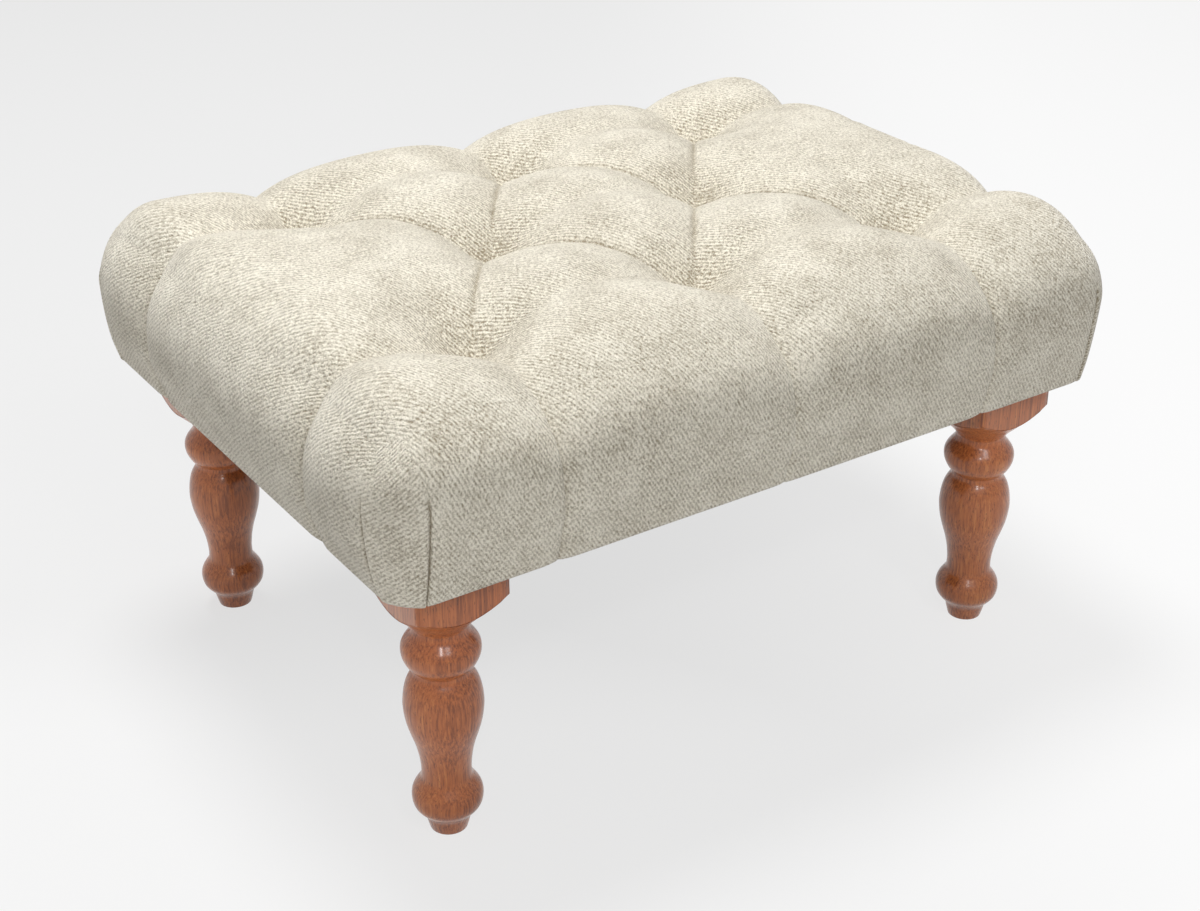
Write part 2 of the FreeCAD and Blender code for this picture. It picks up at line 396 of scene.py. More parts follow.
def ring_of(columns, rows):
    """Grid places of the cushion's edge, counter-clockwise seen from above."""
    ring = [(i, 0) for i in range(columns - 1)]
    ring += [(columns - 1, j) for j in range(rows - 1)]
    ring += [(i, rows - 1) for i in range(columns - 1, 0, -1)]
    return ring + [(0, j) for j in range(rows - 1, 0, -1)]


def wall_levels(steps):
    """Levels of the wall's rows, from below the rim down to the start of the hem."""
    return np.linspace(rim_level, base_level + hem_radius, steps + 1)[1:]


def hem_and_lining(last, x, y):
    """Rings of the hem, folded in under the rails, and of the lining up to the foam's top."""
    centre = np.stack([np.clip(x, corner_low - half_length, half_length - corner_low),
                       np.clip(y, corner_low - half_width, half_width - corner_low)], -1)
    out = np.stack([x, y], -1) - centre
    out /= np.linalg.norm(out, axis=-1, keepdims=True)

    def ring(place, z):
        return np.concatenate([place, np.full((len(x), 1), z)], -1)

    rings = []
    for angle in np.radians([30, 60, 90]):
        place = last[:, :2] - out * hem_radius * (1 - math.cos(angle))
        rings.append(ring(place, base_level + hem_radius * (1 - math.sin(angle))))
    start = rings[-1][:, :2]
    inner = centre + out * (corner_low - hem_width)
    for share in (0.35, 0.7, 1.0):
        rings.append(ring(start + (inner - start) * share, base_level))
    rails_under = cloth_high.z - 0.00005
    rings.append(ring(inner, rails_under))
    lining = centre + out * (corner_low - quilt_side + lining_gap)
    rings.append(ring(lining, rails_under))
    rings.append(ring(lining, foam_high.z + lining_gap))
    return rings


def form(xs, ys, levels):
    """Top grid and wall rings of the puffed cushion: points, normals and tuft shares of each."""
    gx, gy = np.meshgrid(xs, ys, indexing="ij")
    top = cushion_surface(gx, gy, np.full_like(gx, rim_level), np.ones_like(gx, bool))
    ring = ring_of(len(xs), len(ys))
    ring_x = np.array([xs[i] for i, _ in ring])
    ring_y = np.array([ys[j] for _, j in ring])
    on_end = np.abs(ring_x) > half_length - tiny
    walls = []
    for z in levels:
        walls.append(cushion_surface(ring_x, ring_y, np.full(len(ring), z), np.zeros(len(ring), bool)))
    walls = [np.stack(part) for part in zip(*walls)]
    return top, walls, ring, ring_x, ring_y, on_end


# Cloth that settles over the filling


def coarse_lines():
    shares = np.linspace(0, 1, settle_steps + 1)
    xs = list(middle_x * shares) + list(middle_x * (1 + shares[1:]))
    xs += list(np.linspace(tuft_x, half_length, settle_steps + 3)[1:])
    ys = list(tuft_y * shares) + list(np.linspace(tuft_y, half_width, settle_steps + 1)[1:])
    return both_ways(xs), both_ways(ys)


def held_shares(walls, gx, gy):
    """How firmly each point of the cloth is held: at the tufts and where it is stapled down."""
    near = tuft_distance(gx, gy, np.full_like(gx, rim_level), np.ones_like(gx, bool))
    held_top = smoothstep((tuft_hold - near) / tuft_hold_fade)
    held_walls = smoothstep((wall_hold - (walls[0][..., 2] - base_level)) / wall_hold_fade)
    return np.concatenate([held_top.ravel(), held_walls.ravel()])


def settle():
    """Moves of a coarse cushion's points when air pressure fills it and its cloth finds rest."""
    xs, ys = coarse_lines()
    levels = wall_levels(settle_steps)
    top, walls, ring, ring_x, ring_y, on_end = form(xs, ys, levels)
    count, size = len(ring), len(xs) * len(ys)
    start = np.concatenate([top[0].reshape(-1, 3), walls[0].reshape(-1, 3)])
    grid = np.arange(size).reshape(len(xs), len(ys))
    faces = []
    for i in range(len(xs) - 1):
        for j in range(len(ys) - 1):
            cell = grid[i, j], grid[i + 1, j], grid[i + 1, j + 1], grid[i, j + 1]
            faces.append([int(v) for v in cell])
    loops = [[int(grid[p]) for p in ring]]
    loops += [[size + k * count + n for n in range(count)] for k in range(len(levels))]
    for high, low in zip(loops, loops[1:]):
        for k in range(count):
            n = (k + 1) % count
            faces.append([high[k], low[k], low[n], high[n]])
    faces.append(loops[-1][::-1])
    mesh = bpy.data.meshes.new("settling")
    mesh.from_pydata(start, [], faces)
    body = new_object("settling", mesh)
    group = body.vertex_groups.new(name="held")
    gx, gy = np.meshgrid(xs, ys, indexing="ij")
    for k, share in enumerate(held_shares(walls, gx, gy)):
        if share > 0.001:
            group.add([k], float(share), "REPLACE")
    cloth = body.modifiers.new("Cloth", "CLOTH")
    cloth.settings.quality = 6
    cloth.settings.vertex_group_mass = "held"
    cloth.settings.use_pressure = True
    cloth.settings.uniform_pressure_force = settle_pressure
    cloth.settings.effector_weights.gravity = 0.0
    cloth.settings.tension_stiffness = 15
    cloth.settings.compression_stiffness = 8
    cloth.settings.bending_stiffness = settle_bending
    cloth.collision_settings.use_collision = False
    scene = bpy.context.scene
    for step in range(1, settle_frames + 1):
        scene.frame_set(step)
    settled = body.evaluated_get(bpy.context.evaluated_depsgraph_get()).to_mesh()
    after = np.empty(len(start) * 3)
    settled.vertices.foreach_get("co", after)
    scene.frame_set(1)
    bpy.data.objects.remove(body)
    move = after.reshape(-1, 3) - start
    length = np.linalg.norm(move, axis=1, keepdims=True)
    move *= np.minimum(1, settle_cap / np.maximum(length, 1e-9))
    move_top = move[:size].reshape(len(xs), len(ys), 3)
    rim = np.array([move_top[p] for p in ring])
    return xs, ys, levels, move_top, np.concatenate([rim[None], move[size:].reshape(-1, count, 3)])


def spline_weights(knots, places):
    """Weights that carry values at the knots to other places, as a natural cubic spline does."""
    knots = np.asarray(knots, float)
    steps = np.diff(knots)
    n = len(knots)
    bend = np.eye(n)
    jump = np.zeros((n, n))
    for k in range(1, n - 1):
        bend[k, k - 1:k + 2] = steps[k - 1], 2 * (steps[k - 1] + steps[k]), steps[k]
        jump[k, k - 1:k + 2] = 6 / steps[k - 1], -6 / steps[k - 1] - 6 / steps[k], 6 / steps[k]
    second = np.linalg.solve(bend, jump)
    cell = np.clip(np.searchsorted(knots, places) - 1, 0, n - 2)
    step = steps[cell]
    right = (places - knots[cell]) / step
    left = 1 - right
    weights = np.zeros((len(places), n))
    rows = np.arange(len(places))
    weights[rows, cell] = left
    weights[rows, cell + 1] += right
    weights += ((left ** 3 - left) * step ** 2 / 6)[:, None] * second[cell]
    weights += ((right ** 3 - right) * step ** 2 / 6)[:, None] * second[cell + 1]
    return weights


def round_the_rim(xs, ys):
    """Distance along the plain cushion's rim for each place of its ring."""
    ring = ring_of(len(xs), len(ys))
    run = [0.0]
    for (i, j), (k, m) in zip(ring, ring[1:]):
        run.append(run[-1] + abs(xs[k] - xs[i]) + abs(ys[m] - ys[j]))
    return np.array(run)


def carry_over(settled, xs, ys, levels):
    """The coarse cushion's moves, carried over to the fine grid."""
    coarse_x, coarse_y, coarse_levels, move_top, move_walls = settled
    along_x, along_y = spline_weights(coarse_x, xs), spline_weights(coarse_y, ys)
    top = np.einsum("ai,bj,ijk->abk", along_x, along_y, move_top, optimize=True)
    total = 4 * (half_length + half_width)
    run = round_the_rim(coarse_x, coarse_y)
    wrap = 4
    knots = np.concatenate([run[-wrap:] - total, run, run[:wrap] + total])
    padded = np.concatenate([move_walls[:, -wrap:], move_walls, move_walls[:, :wrap]], axis=1)
    around = spline_weights(knots, round_the_rim(xs, ys))
    rows = np.concatenate([[rim_level], coarse_levels])
    down = spline_weights(-rows, -np.asarray(levels))
    return top, np.einsum("ai,bj,jik->bak", around, down, padded, optimize=True)


def slide_to_folds(rows, levels, ring_x, ring_y):
    """Wall rows cut anew along their own curves, so that one column runs straight up each fold."""
    share = 1 - smoothstep((levels - fold_start) / (rim_level - fold_start))
    moved = rows.copy()
    fronts = (ring_x, ring_y, half_length, half_width, tuft_x, front_fold_x)
    ends = (ring_y, ring_x, half_width, half_length, tuft_y, end_fold_y)
    for axis, (along, across, edge, face, inner, fold) in enumerate((fronts, ends)):
        for way, facing in ((-1, -1), (-1, 1), (1, -1), (1, 1)):
            chosen = np.flatnonzero((along * way > inner - tiny) & (across * facing > face - tiny))
            chosen = chosen[np.argsort(np.abs(along[chosen]))]
            plain = np.abs(along[chosen])
            for row, part in enumerate(share):
                hit = np.interp(fold, np.abs(rows[row, chosen, axis]), plain)
                target = fold + (hit - fold) * part
                below = inner + (plain - inner) * (target - inner) / (fold - inner)
                above = target + (plain - fold) * (edge - target) / (edge - fold)
                places = np.where(plain < fold, below, above)
                moved[row, chosen] = spline_weights(plain, places) @ rows[row, chosen]
    return moved


def cushion_mesh():
    """Closed mesh: puffed top, walls, hem folded under the rails and lining round the foam."""
    xs, ys = grid_lines()
    levels = wall_levels(wall_steps)
    top, walls, ring, ring_x, ring_y, on_end = form(xs, ys, levels)
    points, walls_at = top[0], walls[0]
    move_top, move_walls = carry_over(settle(), xs, ys, levels)
    points = points + move_top
    walls_at = walls_at + move_walls
    rows = np.concatenate([walls_at, walls[1], walls[2][..., None]], -1)
    rows = slide_to_folds(rows, levels, ring_x, ring_y)
    walls_at, out, wall_hollow = rows[..., :3], rows[..., 3:6], rows[..., 6]
    heights = np.broadcast_to(levels[:, None], walls_at.shape[:2])
    folds, wall_painted_shade = wall_folds(ring_x[None], ring_y[None], heights, on_end[None])
    walls_at = walls_at + out * folds[..., None]
    inner_rings = hem_and_lining(walls_at[-1], ring_x, ring_y)
    verts = [points.reshape(-1, 3), walls_at.reshape(-1, 3)] + inner_rings
    count = len(ring)
    # Shares for the cloth's colour: the tuft share darkens the hollows with painted shade, and the
    # crease share carries painted shade in the creases and fold gaps and a painted highlight on the end
    # folds' raised edges.
    hollow = [top[2].ravel(), wall_hollow.ravel(), np.zeros(count * len(inner_rings))]
    crease = [np.clip(-top[3].ravel() / darkest_painted_shade_depth, 0, 1), wall_painted_shade.ravel()] + hollow[2:]
    drops = [wall_drop(np.array(z)) for z in [rim_level] + list(levels)]
    for before, after in zip([walls_at[-1]] + inner_rings, inner_rings):
        drops.append(drops[-1] + float(np.linalg.norm(after - before, axis=-1).mean()))

    grid = np.arange(len(xs) * len(ys)).reshape(len(xs), len(ys))
    faces, cloth = top_faces(grid, *np.meshgrid(xs, ys, indexing="ij"))
    loops = [np.array([grid[i, j] for i, j in ring])]
    for k in range(len(drops) - 1):
        loops.append(np.arange(count) + grid.size + k * count)
    rings = np.stack([np.array([points[p] for p in ring])] + list(walls_at) + inner_rings)
    wall, wall_cloth = wall_faces(loops, rings, drops, ring_x, ring_y, on_end)
    faces += wall + [[int(v) for v in loops[-1]]]
    cloth += wall_cloth + [(ring_x[k], ring_y[k]) for k in range(count)]

    mesh = bpy.data.meshes.new("tufted_cushion")
    mesh.from_pydata(np.concatenate(verts), [], faces)
    uv = mesh.uv_layers.new(name="cloth")
    uv.data.foreach_set("uv", np.array(cloth, np.float32).ravel())
    for name, shares in (("hollow", hollow), ("crease", crease)):
        layer = mesh.attributes.new(name, "FLOAT", "POINT")
        layer.data.foreach_set("value", np.concatenate(shares).astype(np.float32))
    mesh.validate()
    smooth_shade(mesh)
    return mesh


def top_faces(grid, gx, gy):
    """Faces of the puffed top. Those that a slanted pleat crosses are split along it."""
    flat_x, flat_y = unrolled(gx, half_length, top_round), unrolled(gy, half_width, top_round)
    top_cloth = np.stack([flat_x, flat_y], -1)
    ax, ay = np.abs(gx), np.abs(gy)
    inner, outer = slanted_pleats(ax, ay)
    on_pleat = (np.abs(inner) < tiny) | (np.abs(outer) < tiny)
    on_pleat &= (ax < tuft_x + tiny) & (ay < tuft_y + tiny)
    faces, cloth = [], []
    for i in range(grid.shape[0] - 1):
        for j in range(grid.shape[1] - 1):
            a, b, c, d = (i, j), (i + 1, j), (i + 1, j + 1), (i, j + 1)
            if on_pleat[a] and on_pleat[c]:
                parts = [(a, b, c), (a, c, d)]
            elif on_pleat[b] and on_pleat[d]:
                parts = [(a, b, d), (b, c, d)]
            else:
                parts = [(a, b, c, d)]
            for part in parts:
                faces.append([int(grid[p]) for p in part])
                cloth += [tuple(top_cloth[p]) for p in part]
    return faces, cloth


def lengths_round(rings, ring_x, ring_y):
    """Cloth lengths round each ring: from the middle of its long side and of its short side."""
    steps = np.linalg.norm(np.roll(rings, -1, axis=1) - rings, axis=2)
    run = np.concatenate([np.zeros((len(rings), 1)), np.cumsum(steps, axis=1)[:, :-1]], axis=1)
    total = steps.sum(axis=1, keepdims=True)
    long_way = np.empty_like(run)
    short_way = np.empty_like(run)
    for side in (-1, 1):
        at_long = int(np.argmin(np.abs(ring_x) + (ring_y * side < 0)))
        at_short = int(np.argmin(np.abs(ring_y) + (ring_x * side < 0)))
        on_long, on_short = ring_y * side > 0, ring_x * side > 0
        long_way[:, on_long] = (-side * (run - run[:, at_long:at_long + 1]))[:, on_long]
        past = run - run[:, at_short:at_short + 1]
        past -= total * np.round(past / total)
        short_way[:, on_short] = (side * past)[:, on_short]
    return long_way, short_way


def wall_faces(levels, rings, drops, ring_x, ring_y, on_end):
    """Faces of the wall, hem and lining, with the cloth of each panel laid out flat."""
    count = len(ring_x)
    edge_x = float(unrolled(half_length, half_length, top_round))
    edge_y = float(unrolled(half_width, half_width, top_round))
    side_x, side_y = np.sign(ring_x), np.sign(ring_y)
    front_along, end_along = lengths_round(rings, ring_x, ring_y)
    faces, cloth = [], []
    for k in range(count):
        n = (k + 1) % count
        farther = max(abs(ring_x[k]), abs(ring_x[n]))
        in_front = not (on_end[k] and on_end[n]) and farther < front_fold_x + tiny
        sign = side_x[k] or side_x[n]
        for r in range(len(levels) - 1):
            high, low = levels[r], levels[r + 1]
            faces.append([int(v) for v in (high[k], low[k], low[n], high[n])])
            for place, level in ((k, r), (k, r + 1), (n, r + 1), (n, r)):
                drop = drops[level]
                if in_front:
                    cloth.append((front_along[level, place], side_y[place] * (edge_y + drop)))
                else:
                    cloth.append((sign * (edge_x + drop), end_along[level, place]))
    return faces, cloth


# Dust cloth and the staples that hold it and the hem


def under_heights(gx, gy, notch_x, notch_y):
    """Drop of the dust cloth below the rails: a slight sag with puckers between its staples."""
    rail_x = foam_high.x - rail_thickness
    rail_y = foam_high.y - rail_thickness
    free = np.clip(1 - (gx / rail_x) ** 2, 0, 1) * np.clip(1 - (gy / rail_y) ** 2, 0, 1)
    past_x, past_y = notch_x - np.abs(gx), notch_y - np.abs(gy)
    from_notch = np.hypot(np.maximum(past_x, 0), np.maximum(past_y, 0))
    drop = cloth_sag * free ** 0.7 * smoothstep(from_notch / 0.07)
    near_long = np.exp((np.abs(gy) - cloth_high.y) / pucker_reach)
    near_short = np.exp((np.abs(gx) - cloth_high.x) / pucker_reach)
    waves = near_long * (1 - np.cos(2 * math.pi * gx / staple_pitch))
    waves += near_short * (1 + np.cos(2 * math.pi * gy / staple_pitch))
    return drop + pucker / 2 * waves * smoothstep(from_notch / 0.02)


def dust_cloth_mesh():
    """Thin cloth under the frame, cut out round the legs."""
    notch_x = leg_high.x - 2 * leg_half - leg_clearance
    notch_y = leg_high.y - 2 * leg_half - leg_clearance
    xs = both_ways(stations(0.0, (notch_x, 48), (cloth_high.x, 18)))
    ys = both_ways(stations(0.0, (notch_y, 34), (cloth_high.y, 18)))
    gx, gy = np.meshgrid(xs, ys, indexing="ij")
    under = cloth_high.z - 0.00005 - under_heights(gx, gy, notch_x, notch_y)
    mesh = bmesh.new()
    used = {}

    def corner(i, j, layer):
        if (i, j, layer) not in used:
            used[i, j, layer] = mesh.verts.new((xs[i], ys[j], under[i, j] - layer * cloth_thickness))
        return used[i, j, layer]

    for i in range(len(xs) - 1):
        for j in range(len(ys) - 1):
            middle = abs(xs[i] + xs[i + 1]) / 2, abs(ys[j] + ys[j + 1]) / 2
            if middle[0] > notch_x and middle[1] > notch_y:
                continue
            cell = [(i, j), (i + 1, j), (i + 1, j + 1), (i, j + 1)]
            mesh.faces.new([corner(*c, 0) for c in cell])
            mesh.faces.new([corner(*c, 1) for c in cell[::-1]])
    places = {vert: key for key, vert in used.items()}
    for edge in [e for e in mesh.edges if e.is_boundary]:
        loop = edge.link_loops[0]
        start, end = places[loop.vert], places[loop.link_loop_next.vert]
        if start[2] == 0:
            around = [end, start, start[:2] + (1,), end[:2] + (1,)]
            mesh.faces.new([used[place] for place in around])
    data = bpy.data.meshes.new("dust_cloth_sheet")
    mesh.to_mesh(data)
    mesh.free()
    smooth_shade(data)
    return data


def staple_row(count):
    return (np.arange(count) - (count - 1) / 2) * staple_pitch


def staple_places():
    """Middle, level and direction of each staple: along the hem and along the dust cloth's edge."""
    hem = (half_length - hem_width / 2, half_width - hem_width / 2, base_level, 11, 9)
    reach = cloth_high.x - staple_inset, cloth_high.y - staple_inset
    edge = (*reach, cloth_high.z - cloth_thickness, 9, 6)
    places = []
    for reach_x, reach_y, level, long_count, short_count in (hem, edge):
        for side in (-1, 1):
            places += [(x, side * reach_y, level, 0.0) for x in staple_row(long_count)]
            places += [(side * reach_x, y, level, math.pi / 2) for y in staple_row(short_count)]
    return places


def staples_mesh():
    """Flat wire staples, each a crown with its ends bent up into the wood."""
    half = staple_crown / 2
    path = [(-half, staple_rise), (-half, 0.0)]
    path += [(-half + staple_bend * (1 - math.cos(a)), -staple_bend * math.sin(a))
             for a in np.radians([30, 60, 90])]
    path += [(-along, up) for along, up in path[::-1]]
    mesh = bmesh.new()
    for k, (x, y, level, turn) in enumerate(staple_places()):
        turn += staple_slant * math.sin(2.4 * k)
        place = Matrix.Translation((x, y, level)) @ Matrix.Rotation(turn, 4, "Z")
        rings = []
        for along, up in path:
            inner_up = max(up, 0) + min(up, 0) * (1 - staple_wire / staple_bend)
            inner_along = along * (1 - staple_wire / half)
            corners = [(along, -1, up), (along, 1, up)]
            corners += [(inner_along, 1, inner_up), (inner_along, -1, inner_up)]
            rings.append([mesh.verts.new(place @ Vector((u, side * staple_width / 2, z)))
                          for u, side, z in corners])
        for low, high in zip(rings, rings[1:]):
            for a in range(4):
                b = (a + 1) % 4
                mesh.faces.new((low[a], low[b], high[b], high[a]))
        mesh.faces.new(rings[0][::-1])
        mesh.faces.new(rings[-1])
    bmesh.ops.recalc_face_normals(mesh, faces=mesh.faces)
    data = bpy.data.meshes.new("staples")
    mesh.to_mesh(data)
    mesh.free()
    return data


# Turned legs

# Radius at each height, from the floor to the shoulder under the square top
leg_profile = [
    [(0.0, 13.0), (0.8, 13.7), (12.2, 16.7)],
    [(12.2, 16.7), (17.0, 21.2), (21.5, 24.2), (27.0, 25.3), (31.7, 24.9), (35.5, 23.4), (39.5, 20.8),
     (43.0, 18.6), (46.5, 17.8), (53.6, 17.8), (63.4, 19.0), (73.2, 21.2), (82.8, 24.2), (92.7, 26.8),
     (103.0, 28.1), (110.0, 27.9), (117.0, 26.9), (123.0, 25.2), (127.5, 22.9), (131.0, 20.6),
     (134.0, 19.9)],
    [(134.0, 19.9), (136.5, 22.2), (140.0, 24.8), (145.0, 27.0), (149.5, 27.7), (153.5, 27.2),
     (157.0, 25.5), (160.5, 22.9), (164.0, 20.4), (167.9, 19.2)],
    [(167.9, 19.2), (173.0, 22.3), (177.5, 26.6), (181.5, 30.6), (185.0, 33.6)],
]
leg_sides = 96
leg_half = (leg_high.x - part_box("hanger_bolts")[1].x + 0.004)
shoulder_slope = 0.76
block_corner_power = 60
block_edge = 0.0008


def through(points, steps):
    """Smooth run through a few points, by Catmull-Rom spans."""
    ends = [2 * np.array(points[0]) - np.array(points[1])]
    ends += [np.array(p, float) for p in points]
    ends.append(2 * ends[-1] - ends[-2])
    run = []
    for a, b, c, d in zip(ends, ends[1:], ends[2:], ends[3:]):
        for t in np.linspace(0, 1, steps, endpoint=False):
            run.append(0.5 * (2 * b + (c - a) * t + (2 * a - 5 * b + 4 * c - d) * t ** 2
                              + (3 * b - a - 3 * c + d) * t ** 3))
    run.append(ends[-2])
    return run


def leg_mesh(centre_x, centre_y):
    """One leg: turned rings up to the shoulder, then the square top."""
    angles = [2 * math.pi * k / leg_sides for k in range(leg_sides)]
    power = block_corner_power
    square = [leg_half / (abs(math.cos(a)) ** power + abs(math.sin(a)) ** power) ** (1 / power)
              for a in angles]
    rings = []
    for part in leg_profile:
        run = through(part, 5)
        for z, radius in run if not rings else run[1:]:
            rings.append([(radius / 1000, max(z, 0) / 1000)] * leg_sides)
    radius, level = rings[-1][0]
    corner = max(square)
    for share in (0.04, 0.09, 0.2, 0.35, 0.55, 0.78, 1.0):
        wide = radius + (corner - radius) * share
        rings.append([(min(wide, s), level + shoulder_slope * (min(wide, s) - radius)) for s in square])
    under = rings.pop()
    for angle in np.radians([0, 30, 60, 90]):
        inset, rise = block_edge * (1 - math.sin(angle)), block_edge * (1 - math.cos(angle))
        rings.append([(s - inset, z + rise) for (_, z), s in zip(under, square)])
    top = leg_high.z
    for share in (0.5, 1.0):
        rings.append([(s, z + (top - z) * share) for (_, z), s in zip(rings[-1], square)])
    mesh = bmesh.new()
    loops = []
    for ring in rings:
        loops.append([mesh.verts.new((centre_x + r * math.cos(a), centre_y + r * math.sin(a), z))
                      for a, (r, z) in zip(angles, ring)])
    for low, high in zip(loops, loops[1:]):
        for k in range(leg_sides):
            n = (k + 1) % leg_sides
            mesh.faces.new((low[k], low[n], high[n], high[k]))
    mesh.faces.new(loops[0][::-1])
    mesh.faces.new(loops[-1])
    for edge in mesh.edges:
        if len(edge.link_faces) == 2 and edge.calc_face_angle() > math.radians(34):
            edge.smooth = False
    data = bpy.data.meshes.new("leg")
    mesh.to_mesh(data)
    mesh.free()
    smooth_shade(data)
    return data


# Materials


def linear(red, green, blue):
    """Colour written in 0 to 255 as seen, for a shader."""
    def channel(value):
        value /= 255
        return value / 12.92 if value <= 0.04045 else ((value + 0.055) / 1.055) ** 2.4
    return (channel(red), channel(green), channel(blue), 1)


class Graph:
    """Short calls that build a material's nodes."""

    def __init__(self, name):
        self.material = bpy.data.materials.new(name)
        self.material.use_nodes = True
        self.tree = self.material.node_tree
        self.shader = self.tree.nodes["Principled BSDF"]

    def put(self, socket, value):
        if isinstance(value, bpy.types.NodeSocket):
            self.tree.links.new(value, socket)
        else:
            socket.default_value = value

    def math(self, operation, a, b=0.0):
        node = self.tree.nodes.new("ShaderNodeMath")
        node.operation = operation
        self.put(node.inputs[0], a)
        self.put(node.inputs[1], b)
        return node.outputs[0]

    def plus(self, a, b):
        return self.math("ADD", a, b)

    def minus(self, a, b):
        return self.math("SUBTRACT", a, b)

    def times(self, a, b):
        return self.math("MULTIPLY", a, b)

    def noise(self, vector, scale, detail=2.0, roughness=0.5):
        node = self.tree.nodes.new("ShaderNodeTexNoise")
        self.put(node.inputs["Vector"], vector)
        node.inputs["Scale"].default_value = scale
        node.inputs["Detail"].default_value = detail
        node.inputs["Roughness"].default_value = roughness
        return node.outputs["Fac"]

    def stretch(self, vector, scale, turn=0.0):
        node = self.tree.nodes.new("ShaderNodeMapping")
        self.put(node.inputs["Vector"], vector)
        node.inputs["Rotation"].default_value = (0, 0, turn)
        node.inputs["Scale"].default_value = scale
        return node.outputs[0]

    def between(self, value, low, high, low_out=0.0, high_out=1.0):
        node = self.tree.nodes.new("ShaderNodeMapRange")
        node.interpolation_type = "SMOOTHSTEP"
        for socket, number in zip(node.inputs, (value, low, high, low_out, high_out)):
            self.put(socket, number)
        return node.outputs[0]

    def mix(self, share, a, b, blend="MIX"):
        node = self.tree.nodes.new("ShaderNodeMix")
        node.data_type = "RGBA"
        node.blend_type = blend
        self.put(node.inputs[0], share)
        self.put(node.inputs[6], a)
        self.put(node.inputs[7], b)
        return node.outputs[2]

    def parts(self, vector):
        node = self.tree.nodes.new("ShaderNodeSeparateXYZ")
        self.put(node.inputs[0], vector)
        return node.outputs

    def place(self):
        return self.tree.nodes.new("ShaderNodeTexCoord").outputs["Object"]

    def cloth(self, layer):
        node = self.tree.nodes.new("ShaderNodeUVMap")
        node.uv_map = layer
        return node.outputs[0]

    def value_of(self, name):
        node = self.tree.nodes.new("ShaderNodeAttribute")
        node.attribute_name = name
        return node.outputs["Fac"]

    def bump(self, height, distance, strength=1.0, under=None):
        node = self.tree.nodes.new("ShaderNodeBump")
        node.inputs["Strength"].default_value = strength
        node.inputs["Distance"].default_value = distance
        self.put(node.inputs["Height"], height)
        if under:
            self.put(node.inputs["Normal"], under)
        return node.outputs[0]

    def finish(self, **inputs):
        for name, value in inputs.items():
            self.put(self.shader.inputs[name.replace("_", " ")], value)
        return self.material


def cover_cloth():
    """Brushed chenille twill: slanted ribs of short floats under a mottled nap, with painted shade in
    the tuft hollows and along the creases and fold gaps, and a painted highlight on the end folds'
    raised edges.
    """
    g = Graph("cover_cloth")
    flat = g.cloth("cloth")
    place = g.place()
    hollow = g.value_of("hollow")
    ribs = g.stretch(flat, (1 / rib_pitch, 1 / float_length, 1), math.radians(-45))
    across, along, _ = g.parts(ribs)
    sway = g.times(g.noise(g.stretch(ribs, (0.3, 0.3, 1)), 1.0, 2), 1.1)
    rib = g.math("SINE", g.times(g.plus(across, sway), 2 * math.pi))
    floats = g.noise(g.stretch(ribs, (1.1, 1.0, 1)), 1.0, 1, 0.6)
    floats = g.times(g.minus(floats, 0.5), 3.2)
    fibre = g.times(g.minus(g.noise(place, 800, 2, 0.8), 0.5), 5.5)
    relief = g.plus(g.times(rib, 0.45), g.plus(floats, fibre))
    nap = g.noise(place, 34, 4, 0.62)
    cloud = g.times(g.minus(nap, 0.5), 1.0)
    strength = g.between(hollow, 0.04, 0.45, 0.42, 0.52)
    shade = g.plus(g.times(relief, strength), 0.62)
    shade = g.plus(shade, g.times(cloud, 0.85))
    # Painted shade: darker down in the tuft hollows.
    shade = g.minus(shade, g.times(hollow, 0.3))
    # Painted shade along the creases and in the fold gaps, and a painted highlight on the end folds'
    # raised edges, from the crease share.
    shade = g.minus(shade, g.times(g.value_of("crease"), 0.9))
    colour = g.mix(shade, linear(158, 146, 123), linear(255, 249, 233))
    normal = g.bump(relief, 0.0006, 0.6)
    normal = g.bump(nap, 0.0016, 0.3, normal)
    return g.finish(Base_Color=colour, Roughness=0.9, Normal=normal, Specular_IOR_Level=0.2,
                    Sheen_Weight=0.5, Sheen_Roughness=0.35, Sheen_Tint=(1.0, 0.98, 0.93, 1.0))


def wood(name, dark, mid, light, grain, coat, gloss, pores=0.5):
    """Wood with upright or level grain: broad figure, fine lines and short dark pores."""
    g = Graph(name)
    place = g.place()
    sx, sy, sz = grain
    figure = g.noise(g.stretch(place, (sx * 14, sy * 14, sz * 14)), 1.0, 4, 0.6)
    lines = g.noise(g.stretch(place, (sx * 620, sy * 620, sz * 400)), 1.0, 3, 0.65)
    short = [math.sqrt(share) * 760 for share in grain]
    fleck = g.noise(g.stretch(place, short), 1.0, 2, 0.5)
    tone = g.plus(g.times(figure, 0.4), g.times(lines, 0.6))
    colour = g.mix(g.between(tone, 0.36, 0.52), dark, mid)
    colour = g.mix(g.between(tone, 0.5, 0.66), colour, light)
    pore = g.between(fleck, 0.60, 0.70)
    colour = g.mix(g.times(pore, pores), colour, tuple(c * 0.32 for c in dark[:3]) + (1,))
    rough = g.between(tone, 0.3, 0.7, gloss + 0.06, gloss - 0.03)
    normal = g.bump(g.minus(g.times(lines, 0.5), pore), 0.00012, 0.35)
    return g.finish(Base_Color=colour, Roughness=rough, Normal=normal, Coat_Weight=coat,
                    Coat_Roughness=0.18, Specular_IOR_Level=0.3)


def seen_share(tree):
    """1 for rays from the camera, also by way of a reflection or through glass."""
    rays = tree.nodes.new("ShaderNodeLightPath").outputs
    seen = rays["Is Camera Ray"]
    for name in ("Is Glossy Ray", "Is Transmission Ray"):
        larger = tree.nodes.new("ShaderNodeMath")
        larger.operation = "MAXIMUM"
        tree.links.new(seen, larger.inputs[0])
        tree.links.new(rays[name], larger.inputs[1])
        seen = larger.outputs[0]
    return seen


